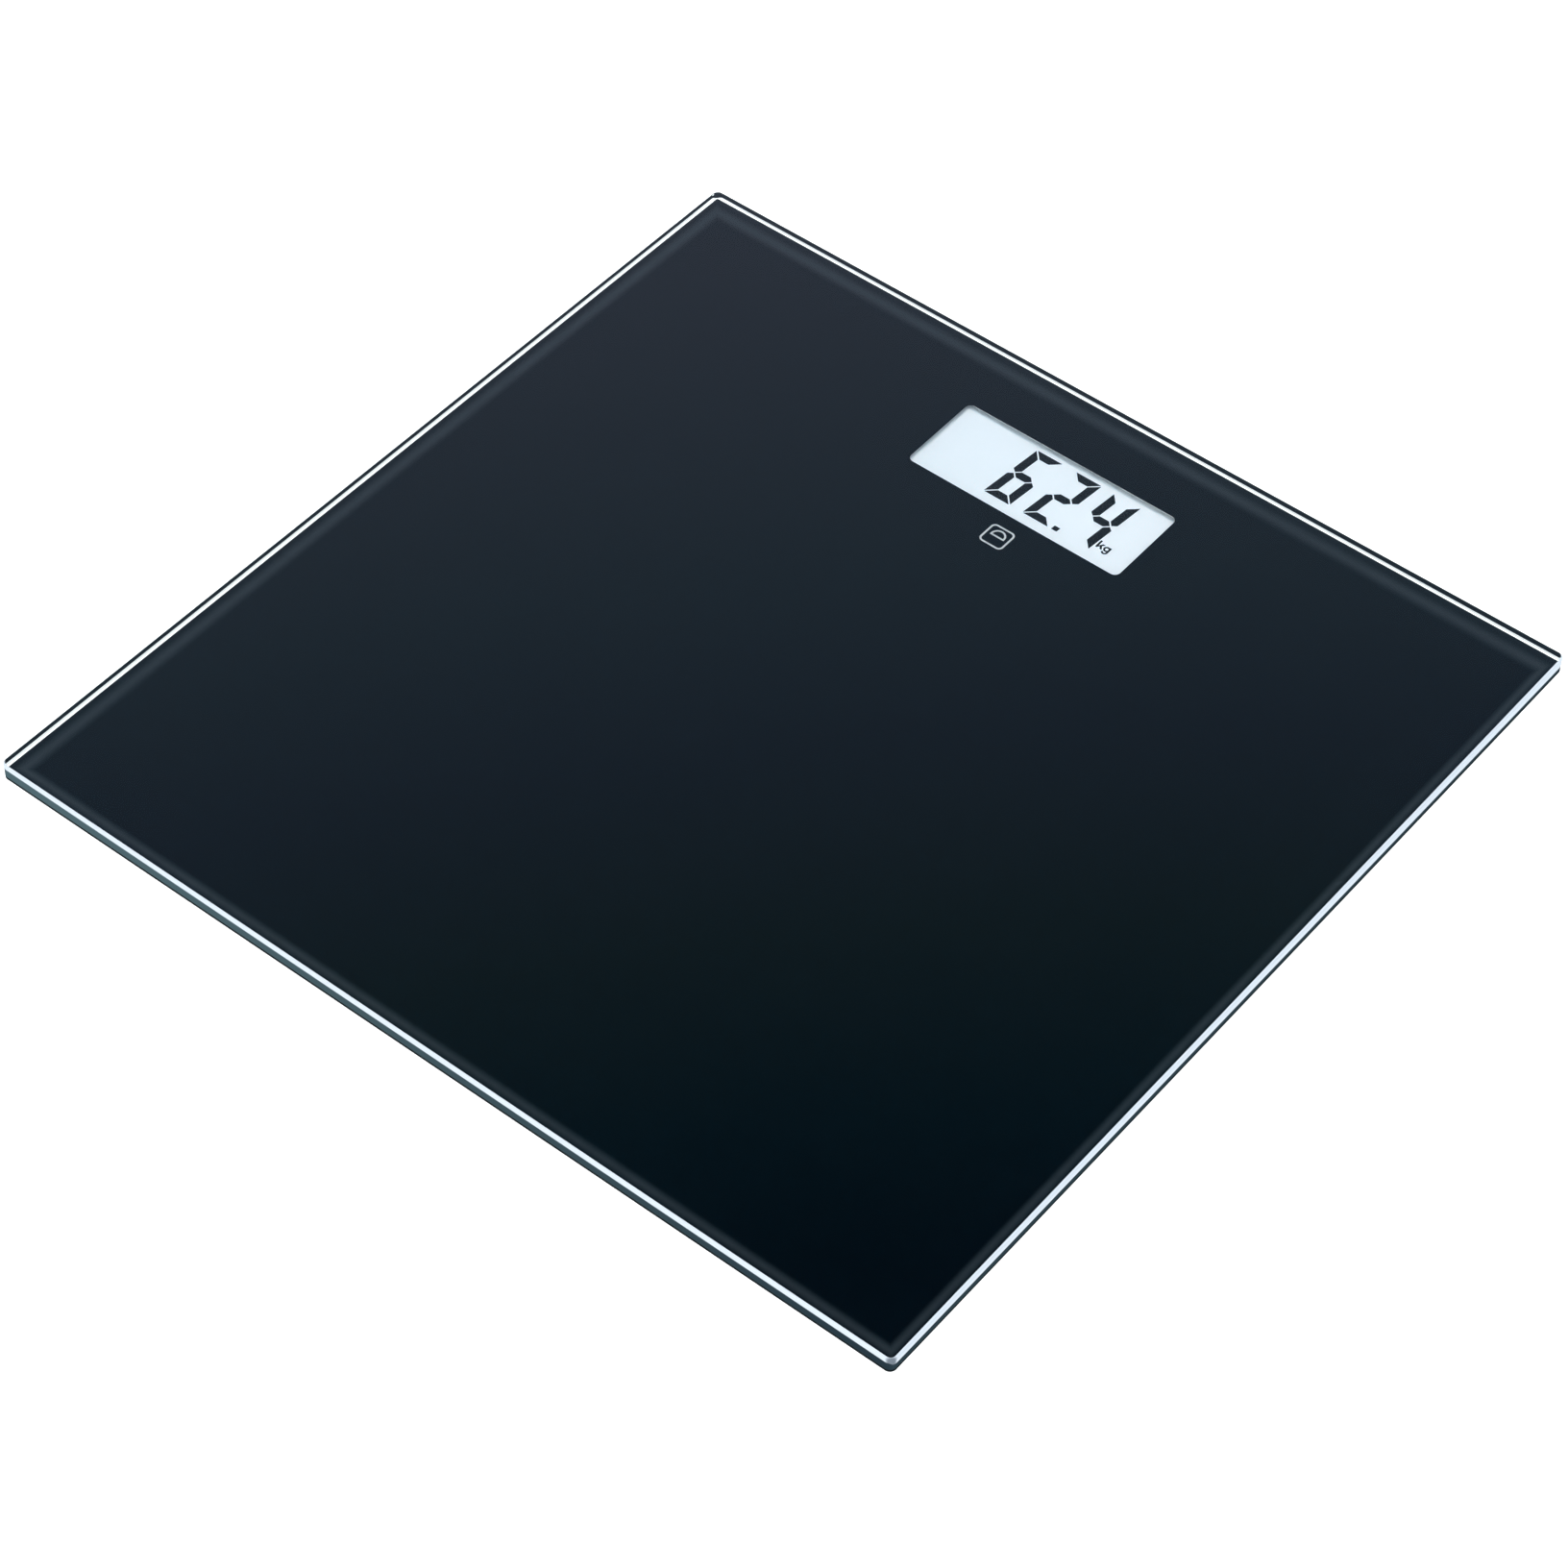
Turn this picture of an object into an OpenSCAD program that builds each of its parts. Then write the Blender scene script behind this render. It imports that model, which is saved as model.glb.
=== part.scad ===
// Digital bathroom scale: a square glass platform on four load-cell feet,
// with the display and electronics in a flat pod under the back of the glass.
// X runs to the right along the front edge, Y to the back, Z up from the floor.
// Units: millimetres.

/* [Platform] */
// Width of the glass, left to right
platform_w = 300; // [280:1:330]
// Depth of the glass, front to back
platform_d = 300; // [290:1:330]
// Height of the standing surface above the floor
height = 18.4; // [17.5:0.1:22]
// Thickness of the glass
glass_t = 5.4; // [4:0.1:6]
// Corner radius of the glass
glass_r = 2; // [1.5:0.5:12]
// Width of the ground arris around the top edge
arris_top = 0.45; // [0.3:0.05:1.5]
// Width of the ground arris around the bottom edge
arris_bottom = 0.15; // [0.1:0.05:1]
// Clear border left between the print and the edge
print_inset = 0.64; // [0.5:0.02:2]
// Corner radius of the print
print_r = 0.5; // [0.3:0.1:2]
// Thickness of the fired print under the glass
print_t = 0.12; // [0.08:0.01:0.2]

/* [Display] */
// Width of the window in the print
window_w = 73.5; // [70:0.5:74]
// Depth of the window in the print
window_d = 29.4; // [27:0.1:30]
// Distance of the window's middle behind the platform's middle
window_y = 112; // [110:0.5:114]
// How far the printed window sits off the display's middle
window_shift = [-0.45, 0.55]; // [-1:0.05:1]
// Corner radius of the window
window_r = 2; // [1:0.5:4]
// Height of a digit
digit_h = 22.8; // [18:0.1:24]
// Width of a digit
digit_w = 9.2; // [7:0.1:10]
// Distance from one digit to the next
digit_pitch = 13.7; // [12:0.1:14]
// Width of a segment
segment_w = 2.7; // [1.5:0.1:3]
// Lean of the digits, in degrees
digit_slant = 5.2; // [0:0.1:8]

/* [Feet] */
// Distance between two feet, middle to middle
foot_span = 232; // [220:1:232]
// Radius of the carrier under the glass
foot_r = 24; // [24:0.5:25]
// Radius of the rubber pad
pad_r = 18; // [15:0.5:18]
// Side of the square load cell
cell_w = 30; // [28:0.5:30]
// Travel of a foot under load
foot_travel = 0.8; // [0.5:0.1:0.8]

/* [Pod] */
// Width of the pod
pod_w = 112; // [110:1:120]
// Depth of the pod
pod_d = 64; // [62:1:66]
// Distance of the pod's middle behind the platform's middle
pod_y = 108; // [107:0.5:109]
// Height of the pod's underside above the floor
pod_bottom = 2.6; // [2.6:0.1:3]
// Wall thickness of the pod
pod_wall = 2; // [1.6:0.1:2.4]
// Travel of the battery door
door_travel = 26; // [24:0.5:28]

/* [Hidden] */
$fn = 64;
glass_z = height - glass_t;
print_z = glass_z - print_t;
tape_t = 0.5;
tape_z = print_z - tape_t;
digit_x = -27.5;
digit_y = 103.05;
board_z = pod_bottom + 6;
board_t = 1;
board_top = board_z + board_t;
lcd_w = 80;
lcd_d = 38;
lcd_top = board_top + 2.4;
lcd_front_z = board_top + 1.45;
lcd_rear_z = board_top + 0.5;
ledge = 3;
coin_x = 36;
coin_y = 92;
coin_z = pod_bottom + 1.55;
coin_r = 10;
coin_t = 3.2;
button_x = -36;
button_y = 92;
door_x = 22;
door_half = 12;
wire_z = tape_z - 0.75;
wire_r = 0.5;
wire_gap = 1.25;
run_x = 80;
run_y = 100;
bend_r = 4;
stack = tape_z - 12.38;

// ---- shared shapes ----

// Plate with rounded corners, its middle at the origin and its underside at z
module plate(w, d, r, z, t) {
  translate([-w / 2 + r, -d / 2, z])
    cube([w - 2 * r, d, t]);
  translate([-w / 2, -d / 2 + r, z])
    cube([w, d - 2 * r, t]);
  for (x = [-1, 1], y = [-1, 1])
    translate([x * (w / 2 - r), y * (d / 2 - r), z])
      cylinder(r = r, h = t);
}

// Cross-section of half a plate with an arris at the top and the bottom
module arris_half(half, t, top, bottom) {
  polygon([
    [0, 0],
    [half - bottom, 0],
    [half, bottom],
    [half, t - top],
    [half - top, t],
    [0, t]
  ]);
}

// Bar along Y with the full cross-section of a plate with an arris
module arris_bar(half, len, t, top, bottom) {
  rotate([90, 0, 0])
    translate([0, 0, -len / 2])
      linear_extrude(height = len)
        polygon([
          [-half + bottom, 0],
          [half - bottom, 0],
          [half, bottom],
          [half, t - top],
          [half - top, t],
          [-half + top, t],
          [-half, t - top],
          [-half, bottom]
        ]);
}

// Round rod from one point to another along X, Y or Z
module rod_x(x0, x1, y, z, r) {
  translate([min(x0, x1), y, z])
    rotate([0, 90, 0])
      cylinder(r = r, h = abs(x1 - x0), $fn = 24);
}

module rod_y(x, y0, y1, z, r) {
  translate([x, max(y0, y1), z])
    rotate([90, 0, 0])
      cylinder(r = r, h = abs(y1 - y0), $fn = 24);
}

module rod_z(x, y, z0, z1, r) {
  translate([x, y, min(z0, z1)])
    cylinder(r = r, h = abs(z1 - z0), $fn = 24);
}

// Quarter bend of a wire about a point, starting at angle a
module bend(x, y, z, turn_r, a) {
  translate([x, y, z])
    rotate([0, 0, a])
      rotate_extrude(angle = 90, $fn = 48)
        translate([turn_r, 0])
          circle(r = wire_r, $fn = 24);
}

module at_foot(x, y) {
  translate([x * foot_span / 2, y * foot_span / 2, 0])
    children();
}

// ---- glass and print ----

module glass_platform() {
  half_w = platform_w / 2;
  half_d = platform_d / 2;
  color("lightcyan", 0.4)
    translate([0, 0, glass_z])
      union() {
        arris_bar(half_w, platform_d - 2 * glass_r, glass_t, arris_top, arris_bottom);
        rotate([0, 0, 90])
          arris_bar(half_d, platform_w - 2 * glass_r, glass_t, arris_top, arris_bottom);
        for (x = [-1, 1], y = [-1, 1])
          translate([x * (half_w - glass_r), y * (half_d - glass_r), 0])
            rotate_extrude()
              arris_half(glass_r, glass_t, arris_top, arris_bottom);
      }
}

// Outline of the pictogram of a scale in the print
module mark_shape(z, t) {
  translate([1.4, 89.15, z]) {
    difference() {
      plate(8, 8, 1.6, 0, t);
      translate([0, 0, -1])
        plate(6.8, 6.8, 1, 0, t + 2);
    }
    translate([0, 0.3, 0])
      difference() {
        cylinder(r = 2.4, h = t);
        translate([0, 0, -1])
          cylinder(r = 1.8, h = t + 2);
        translate([-3, -6, -1])
          cube([6, 6, t + 2]);
      }
    translate([-2.4, -0.3, 0])
      cube([4.8, 0.6, t]);
  }
}

module back_print() {
  color("black")
    difference() {
      plate(
        platform_w - 2 * print_inset,
        platform_d - 2 * print_inset,
        print_r,
        print_z,
        print_t
      );
      translate([window_shift.x, window_y + window_shift.y, 0])
        plate(window_w, window_d, window_r, print_z - 1, print_t + 2);
      mark_shape(print_z - 1, print_t + 2);
    }
}

module print_mark() {
  color("white")
    mark_shape(print_z, print_t);
}

// ---- display ----

function lean(x, y) = [x + y * tan(digit_slant), y];

// One segment of a digit, named a to g from the top clockwise
module segment(name) {
  w = digit_w;
  h = digit_h;
  s = segment_w;
  g = 0.3;
  m = h / 2;
  if (name == "a")
    polygon([lean(g, h), lean(w - g, h), lean(w - s - g, h - s), lean(s + g, h - s)]);
  if (name == "d")
    polygon([lean(g, 0), lean(s + g, s), lean(w - s - g, s), lean(w - g, 0)]);
  if (name == "g")
    polygon([
      lean(s / 2 + g, m),
      lean(s + g, m + s / 2),
      lean(w - s - g, m + s / 2),
      lean(w - s / 2 - g, m),
      lean(w - s - g, m - s / 2),
      lean(s + g, m - s / 2)
    ]);
  if (name == "f")
    polygon([lean(0, h - g), lean(s, h - s - g), lean(s, m + s / 2 + g), lean(s / 2, m + g), lean(0, m + s / 2)]);
  if (name == "e")
    polygon([lean(0, g), lean(0, m - s / 2), lean(s / 2, m - g), lean(s, m - s / 2 - g), lean(s, s + g)]);
  if (name == "b")
    polygon([lean(w, h - g), lean(w, m + s / 2), lean(w - s / 2, m + g), lean(w - s, m + s / 2 + g), lean(w - s, h - s - g)]);
  if (name == "c")
    polygon([lean(w, g), lean(w - s, s + g), lean(w - s, m - s / 2 - g), lean(w - s / 2, m - g), lean(w, m - s / 2)]);
}

module digit(place, lit) {
  translate([digit_x + place * digit_pitch, digit_y, lcd_front_z - 0.05])
    for (k = [0 : len(lit) - 1])
      linear_extrude(height = 0.05)
        segment(lit[k]);
}

// The unit shown beside the digits
module unit_sign() {
  translate([23.65, 105.4, lcd_front_z - 0.05])
    linear_extrude(height = 0.05) {
      square([0.6, 3]);
      polygon([[0.6, 0.9], [1.5, 2.1], [2.25, 2.1], [0.6, 0.2]]);
      polygon([[0.9, 1.2], [1.55, 0], [2.3, 0], [1.35, 1.6]]);
      translate([3.35, 1.05])
        difference() {
          circle(r = 1.05, $fn = 32);
          circle(r = 0.5, $fn = 32);
        }
      translate([3.85, 0])
        square([0.55, 2.1]);
      translate([3.35, -0.05])
        difference() {
          circle(r = 1.05, $fn = 32);
          circle(r = 0.5, $fn = 32);
          translate([-2, 0])
            square([4, 2]);
          translate([-2, -0.35])
            square([1.3, 2]);
        }
    }
}

module lcd_segments() {
  color("black") {
    digit(1, ["a", "c", "d", "e", "f", "g"]);
    digit(2, ["a", "b", "d", "e", "g"]);
    digit(3, ["b", "c", "f", "g"]);
    translate([digit_x + 3 * digit_pitch - 3.6, digit_y, lcd_front_z - 0.05])
      linear_extrude(height = 0.05)
        polygon([lean(0, 0), lean(1.9, 0), lean(1.9, 1.7), lean(0, 1.7)]);
    unit_sign();
  }
}

module lcd_front_glass() {
  color("aliceblue", 0.5)
    translate([-lcd_w / 2, window_y - lcd_d / 2, lcd_front_z])
      cube([lcd_w, lcd_d, lcd_top - lcd_front_z]);
}

module lcd_rear_glass() {
  color("aliceblue", 0.5)
    translate([-lcd_w / 2, window_y - lcd_d / 2 + ledge, lcd_rear_z])
      cube([lcd_w, lcd_d - ledge, lcd_front_z - 0.05 - lcd_rear_z]);
}

module lcd_backing() {
  color("silver")
    translate([-lcd_w / 2, window_y - lcd_d / 2 + ledge, board_top])
      cube([lcd_w, lcd_d - ledge, lcd_rear_z - board_top]);
}

module lcd_connector() {
  color("dimgray")
    translate([-35, window_y - lcd_d / 2 + 0.5, board_top])
      cube([70, 1.8, lcd_front_z - board_top]);
}

module lcd_frame() {
  color("whitesmoke") {
    difference() {
      translate([0, window_y, 0])
        plate(88, 46, 1.5, board_top, lcd_top + 0.3 - board_top);
      translate([-lcd_w / 2 - 0.3, window_y - lcd_d / 2 - 0.3, board_top - 1])
        cube([lcd_w + 0.6, lcd_d + 0.6, lcd_top + 0.05 - board_top + 1]);
      translate([0, window_y, 0])
        plate(76, 31.5, 1.5, board_top, 6);
    }
    for (x = [-42.2, 42.2], y = [-21.2, 21.2])
      translate([x, window_y + y, board_z - 0.3])
        cylinder(r = 0.8, h = board_top - board_z + 0.4, $fn = 24);
  }
}

// ---- electronics ----

module circuit_board() {
  color("darkgreen")
    difference() {
      translate([0, pod_y, 0])
        plate(102, 56, 2, board_z, board_t);
      for (x = [-48, 48], y = [-24, 24])
        translate([x, pod_y + y, board_z - 1])
          cylinder(r = 1.15, h = board_t + 2, $fn = 24);
      for (x = [-42.2, 42.2], y = [-21.2, 21.2])
        translate([x, window_y + y, board_z - 1])
          cylinder(r = 0.85, h = board_t + 2, $fn = 24);
    }
}

// Round drop of black resin over the controller chip
module controller_blob() {
  ball_r = 12.75;
  color("black")
    translate([-4, 112, board_z])
      intersection() {
        translate([0, 0, ball_r - 1.5])
          sphere(r = ball_r);
        translate([-8, -8, -1.5])
          cube([16, 16, 1.5]);
      }
}

module board_parts() {
  color("tan") {
    for (k = [0 : 3])
      translate([-30 + k * 5, 122, board_z - 0.6])
        cube([2, 1.25, 0.6]);
    for (k = [0 : 2])
      translate([10 + k * 4.5, 124, board_z - 0.8])
        cube([1.25, 2, 0.8]);
    translate([-22, 104, board_z - 1.3])
      cube([5, 3.2, 1.3]);
    translate([8, 108, board_z - 1.1])
      cube([3, 1.7, 1.1]);
  }
}

module unit_switch() {
  color("silver")
    translate([button_x, button_y, 0]) {
      translate([-3, -3, board_z - 1.8])
        cube([6, 6, 1.8]);
      translate([0, 0, board_z - 2.4])
        cylinder(r = 1.6, h = 0.6, $fn = 32);
    }
}

module board_screws() {
  color("gray")
    for (x = [-48, 48], y = [-24, 24])
      translate([x, pod_y + y, 0])
        difference() {
          union() {
            translate([0, 0, board_top])
              cylinder(r = 1.9, h = 1.2, $fn = 32);
            translate([0, 0, board_top - 4.4])
              cylinder(r = 0.95, h = 4.5, $fn = 24);
          }
          translate([-1.3, -0.22, board_top + 0.6])
            cube([2.6, 0.44, 1]);
          translate([-0.22, -1.3, board_top + 0.6])
            cube([0.44, 2.6, 1]);
        }
}

module coin_cell() {
  color("silver")
    translate([coin_x, coin_y, coin_z])
      rotate_extrude()
        polygon([
          [0, 0],
          [coin_r - 0.4, 0],
          [coin_r, 0.4],
          [coin_r, 2.6],
          [coin_r - 0.3, 2.9],
          [8.6, 2.9],
          [8.6, coin_t],
          [0, coin_t]
        ]);
}

// Side contact, soldered to the board, that touches the rim of the cell
module contact_plus() {
  color("goldenrod") {
    translate([coin_x - 3, coin_y + coin_r + 0.03, coin_z + 0.8])
      cube([6, 0.3, board_z - coin_z - 0.8]);
    translate([coin_x - 3, coin_y + coin_r + 0.03, board_z - 0.25])
      cube([6, 3.5, 0.25]);
  }
}

// Leaf contact, soldered to the board, that presses on the top of the cell
module contact_minus() {
  top = board_z;
  low = coin_z + coin_t + 0.02;
  color("goldenrod")
    translate([coin_x - 2.5, coin_y, 0])
      rotate([90, 0, 90])
        linear_extrude(height = 5)
          polygon([
            [-7, top],
            [-7, top - 0.22],
            [-3.4, top - 0.22],
            [0, low],
            [2.2, low],
            [3.2, low + 0.35],
            [3.05, low + 0.52],
            [2.1, low + 0.22],
            [0.1, low + 0.22],
            [-3.2, top]
          ]);
}

// ---- pod ----

module pod_housing() {
  rim = tape_z - pod_bottom;
  color("dimgray")
    difference() {
      union() {
        difference() {
          translate([0, pod_y, 0])
            plate(pod_w, pod_d, 6, pod_bottom, rim);
          translate([0, pod_y, 0])
            plate(pod_w - 2 * pod_wall, pod_d - 2 * pod_wall, 4, pod_bottom + 1.6, rim);
        }
        translate([door_x - 3, pod_y - pod_d / 2 + pod_wall - 0.5, pod_bottom + 1.3])
          cube([pod_w / 2 - pod_wall + 3.5 - door_x, 29.5, 1.2]);
        translate([coin_x, coin_y, pod_bottom + 1.3])
          cylinder(r = coin_r + 1.9, h = 3.7);
        translate([button_x, button_y, pod_bottom + 1.5])
          cylinder(r = 7.2, h = 2);
        for (x = [-48, 48], y = [-24, 24])
          translate([x, pod_y + y, pod_bottom + 1])
            cylinder(r = 2.8, h = board_z - pod_bottom - 1, $fn = 32);
      }
      for (x = [-48, 48], y = [-24, 24])
        translate([x, pod_y + y, board_top - 4.6])
          cylinder(r = 0.9, h = 6, $fn = 24);
      translate([coin_x, coin_y, pod_bottom - 1])
        cylinder(r = coin_r + 0.35, h = 8);
      translate([coin_x - 3.4, coin_y + 8.8, pod_bottom + 2.1])
        cube([6.8, 5.4, 6]);
      translate([button_x, button_y, pod_bottom - 1])
        cylinder(r = 4.5, h = 4);
      translate([button_x, button_y, pod_bottom + 1.6])
        cylinder(r = 5.8, h = 4);
      translate([door_x, coin_y - door_half, pod_bottom - 1])
        cube([pod_w / 2 - door_x + 1, 2 * door_half, 2.3]);
      translate([door_x, coin_y - door_half - 1, pod_bottom + 0.5])
        cube([pod_w / 2 - door_x + 1, 2 * door_half + 2, 0.8]);
      for (x = [-1, 1], y = [run_y, foot_span / 2])
        translate([x * (pod_w / 2 - 1) - 3, y - 2.2, wire_z - 0.8])
          cube([6, 4.4, 3]);
    }
}

// Foam ring that bonds the rim of the pod to the print
module pod_tape() {
  color("white")
    difference() {
      translate([0, pod_y, 0])
        plate(pod_w, pod_d, 6, tape_z, tape_t);
      translate([0, pod_y, 0])
        plate(pod_w - 2 * pod_wall, pod_d - 2 * pod_wall, 4, tape_z - 1, tape_t + 2);
      for (x = [-1, 1], y = [run_y, foot_span / 2])
        translate([x * (pod_w / 2 - 1) - 3, y - 2.2, wire_z - 0.8])
          cube([6, 4.4, 3]);
    }
}

// Sliding door with a tongue along each side and finger grooves across it
module battery_door() {
  len = pod_w / 2 - door_x - 0.5;
  color("dimgray")
    difference() {
      translate([door_x + 0.3, coin_y, pod_bottom]) {
        translate([0, 0.2 - door_half, 0.05])
          cube([len, 2 * door_half - 0.4, 1.1]);
        translate([0, -door_half - 0.8, 0.6])
          cube([len, 2 * door_half + 1.6, 0.55]);
      }
      for (k = [0 : 4])
        translate([pod_w / 2 - 4 - k * 2, coin_y - 7, pod_bottom - 1])
          cube([1, 14, 1.35]);
    }
}

module unit_button() {
  color("gray")
    translate([button_x, button_y, pod_bottom]) {
      translate([0, 0, 0.2])
        cylinder(r = 4.2, h = 1.6);
      translate([0, 0, 1.7])
        cylinder(r = 5.45, h = 0.6);
      translate([0, 0, 2.2])
        cylinder(r = 2, h = 0.7, $fn = 32);
    }
}

// ---- wires ----

// Channel along Y, open to the glass, for the wires of a front foot
module side_cover(x) {
  color("black")
    translate([x * run_x, -8, 0])
      difference() {
        translate([-3.5, -94, tape_z - 1.7])
          cube([7, 188, tape_t + 1.7]);
        translate([-2.4, -95, tape_z - 1.3])
          cube([4.8, 190, 4]);
      }
}

// Channel along X, open to the glass, for the wires of a back foot
module back_cover(x) {
  mid = (pod_w / 2 + foot_span / 2 - foot_r) / 2;
  color("black")
    translate([x * mid, foot_span / 2, 0])
      difference() {
        translate([-14, -3.5, tape_z - 1.7])
          cube([28, 7, tape_t + 1.7]);
        translate([-15, -2.4, tape_z - 1.3])
          cube([30, 4.8, 4]);
      }
}

// Wires of a left front foot, from its load cell to the board
module front_wires() {
  fx = -foot_span / 2;
  fy = -foot_span / 2;
  for (k = [-1, 0, 1]) {
    o = k * wire_gap;
    rod_z(fx + 6, fy + o, wire_z, wire_z - 1.9, wire_r);
    translate([fx + 6, fy + o, wire_z])
      sphere(r = wire_r, $fn = 24);
    rod_x(fx + 6, -run_x - bend_r, fy + o, wire_z, wire_r);
    bend(-run_x - bend_r, fy + bend_r, wire_z, bend_r - o, 270);
    rod_y(-run_x - o, fy + bend_r, run_y - bend_r, wire_z, wire_r);
    bend(-run_x + bend_r, run_y - bend_r, wire_z, bend_r + o, 90);
    rod_x(-run_x + bend_r, -48, run_y + o, wire_z, wire_r);
    translate([-48, run_y + o, wire_z])
      sphere(r = wire_r, $fn = 24);
    rod_z(-48, run_y + o, wire_z, board_top, wire_r);
  }
}

// Wires of a left back foot, straight from its load cell to the board
module back_wires() {
  fx = -foot_span / 2;
  fy = foot_span / 2;
  for (k = [-1, 0, 1]) {
    o = k * wire_gap;
    rod_z(fx + 6, fy + o, wire_z, wire_z - 1.9, wire_r);
    translate([fx + 6, fy + o, wire_z])
      sphere(r = wire_r, $fn = 24);
    rod_x(fx + 6, -48, fy + o, wire_z, wire_r);
    translate([-48, fy + o, wire_z])
      sphere(r = wire_r, $fn = 24);
    rod_z(-48, fy + o, wire_z, board_top, wire_r);
  }
}

module front_left_wires() {
  color("firebrick")
    front_wires();
}

module front_right_wires() {
  color("firebrick")
    mirror([1, 0, 0])
      front_wires();
}

module back_left_wires() {
  color("firebrick")
    back_wires();
}

module back_right_wires() {
  color("firebrick")
    mirror([1, 0, 0])
      back_wires();
}

// ---- feet ----

// Space for the wires, from the middle of a foot towards the pod
module wire_slot(side, z, t) {
  len = foot_r + 2;
  translate([side > 0 ? -len : 0, -2.2, z])
    cube([len, 4.4, t]);
}

module foot_tape(side) {
  color("white")
    difference() {
      translate([0, 0, tape_z])
        cylinder(r = foot_r - 1.5, h = tape_t);
      translate([0, 0, tape_z - 1])
        cylinder(r = 9, h = tape_t + 2);
      wire_slot(side, tape_z - 1, 3);
    }
}

// Cup bonded under the glass: it holds the load cell and guides the cap
module foot_carrier(side) {
  lip_z = 3.6;
  rib = cell_w / 2;
  color("black")
    difference() {
      union() {
        difference() {
          translate([0, 0, lip_z])
            cylinder(r = foot_r, h = tape_z - lip_z);
          translate([0, 0, lip_z - 1])
            cylinder(r = foot_r - 2.6, h = 3);
          translate([0, 0, lip_z + 0.6])
            cylinder(r = foot_r - 1.6, h = 6.4 + stack);
        }
        difference() {
          translate([-rib, -rib, 8.6 + stack])
            cube([cell_w, cell_w, 2.2]);
          translate([-rib + 2, -rib + 2, 8.6 + stack - 1])
            cube([cell_w - 4, cell_w - 4, 4]);
        }
        for (a = [0 : 90 : 270])
          rotate([0, 0, a]) {
            translate([rib + 0.2, -3, 5.8 + stack])
              cube([1.5, 6, 5]);
            translate([rib - 0.7, -3, 5.8 + stack])
              cube([1.6, 6, 0.7]);
          }
      }
      wire_slot(side, wire_z - 0.75, 3);
      translate([side * -6, 0, 8 + stack])
        cylinder(r = 2.6, h = 6);
    }
}

// Steel load cell: a frame with a tongue cut free on three sides
module foot_cell() {
  z = 6.6 + stack;
  color("silver")
    difference() {
      plate(cell_w, cell_w, 3, z, 2);
      translate([-8, -10, z - 1])
        cube([16, 1.6, 4]);
      for (x = [-8, 6.4])
        translate([x, -10, z - 1])
          cube([1.6, 19, 4]);
      translate([0, 7.5, z - 1])
        cylinder(r = 2, h = 4);
    }
}

// Silicone over the strain gauge and the ends of the wires
module foot_resin(side) {
  z = 8.6 + stack;
  color("whitesmoke")
    difference() {
      translate([side * -1.5, 0, 0])
        plate(10, 7, 2, z, 1.1);
      translate([side * -6, 0, z - 1])
        cylinder(r = 2.2, h = 3);
    }
}

// Sprung cap that carries the foot's load up to the tongue of the cell
module foot_cap() {
  color("dimgray")
    difference() {
      union() {
        translate([0, 0, 1.4])
          cylinder(r = foot_r - 3, h = 4);
        translate([0, 0, 4.4])
          cylinder(r = foot_r - 2, h = 1);
      }
      difference() {
        translate([0, 0, 3.4])
          cylinder(r = foot_r - 4.6, h = 3);
        translate([0, 0, 3])
          cylinder(r = 3.5, h = 5, $fn = 48);
      }
      translate([0, 0, 0.4])
        cylinder(r = pad_r + 0.1, h = 1.6);
    }
  color("dimgray")
    translate([0, 0, 3.4])
      cylinder(r = 3.5, h = 3.1 - foot_travel + stack, $fn = 48);
}

module foot_pad() {
  color("darkslategray")
    difference() {
      rotate_extrude()
        polygon([
          [0, 0],
          [pad_r - 0.8, 0],
          [pad_r, 0.8],
          [pad_r, 2],
          [0, 2]
        ]);
      for (r = [6, 11])
        translate([0, 0, -1])
          difference() {
            cylinder(r = r + 0.6, h = 1.5);
            translate([0, 0, -1])
              cylinder(r = r - 0.6, h = 4);
          }
    }
}

// ---- the nodes ----

glass_platform();
back_print();
print_mark();
lcd_front_glass();
lcd_segments();
lcd_rear_glass();
lcd_backing();
lcd_frame();
lcd_connector();
circuit_board();
controller_blob();
board_parts();
unit_switch();
board_screws();
pod_housing();
pod_tape();
coin_cell();
contact_plus();
contact_minus();
battery_door();
unit_button();
side_cover(-1);  // left_wire_cover
side_cover(1);  // right_wire_cover
back_cover(-1);  // back_left_wire_cover
back_cover(1);  // back_right_wire_cover
front_left_wires();
front_right_wires();
back_left_wires();
back_right_wires();
at_foot(-1, -1) foot_tape(-1);  // front_left_tape
at_foot(-1, -1) foot_carrier(-1);  // front_left_carrier
at_foot(-1, -1) foot_cell();  // front_left_cell
at_foot(-1, -1) foot_resin(-1);  // front_left_resin
at_foot(-1, -1) foot_cap();  // front_left_cap
at_foot(-1, -1) foot_pad();  // front_left_pad
at_foot(1, -1) foot_tape(1);  // front_right_tape
at_foot(1, -1) foot_carrier(1);  // front_right_carrier
at_foot(1, -1) foot_cell();  // front_right_cell
at_foot(1, -1) foot_resin(1);  // front_right_resin
at_foot(1, -1) foot_cap();  // front_right_cap
at_foot(1, -1) foot_pad();  // front_right_pad
at_foot(-1, 1) foot_tape(-1);  // back_left_tape
at_foot(-1, 1) foot_carrier(-1);  // back_left_carrier
at_foot(-1, 1) foot_cell();  // back_left_cell
at_foot(-1, 1) foot_resin(-1);  // back_left_resin
at_foot(-1, 1) foot_cap();  // back_left_cap
at_foot(-1, 1) foot_pad();  // back_left_pad
at_foot(1, 1) foot_tape(1);  // back_right_tape
at_foot(1, 1) foot_carrier(1);  // back_right_carrier
at_foot(1, 1) foot_cell();  // back_right_cell
at_foot(1, 1) foot_resin(1);  // back_right_resin
at_foot(1, 1) foot_cap();  // back_right_cap
at_foot(1, 1) foot_pad();  // back_right_pad
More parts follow.
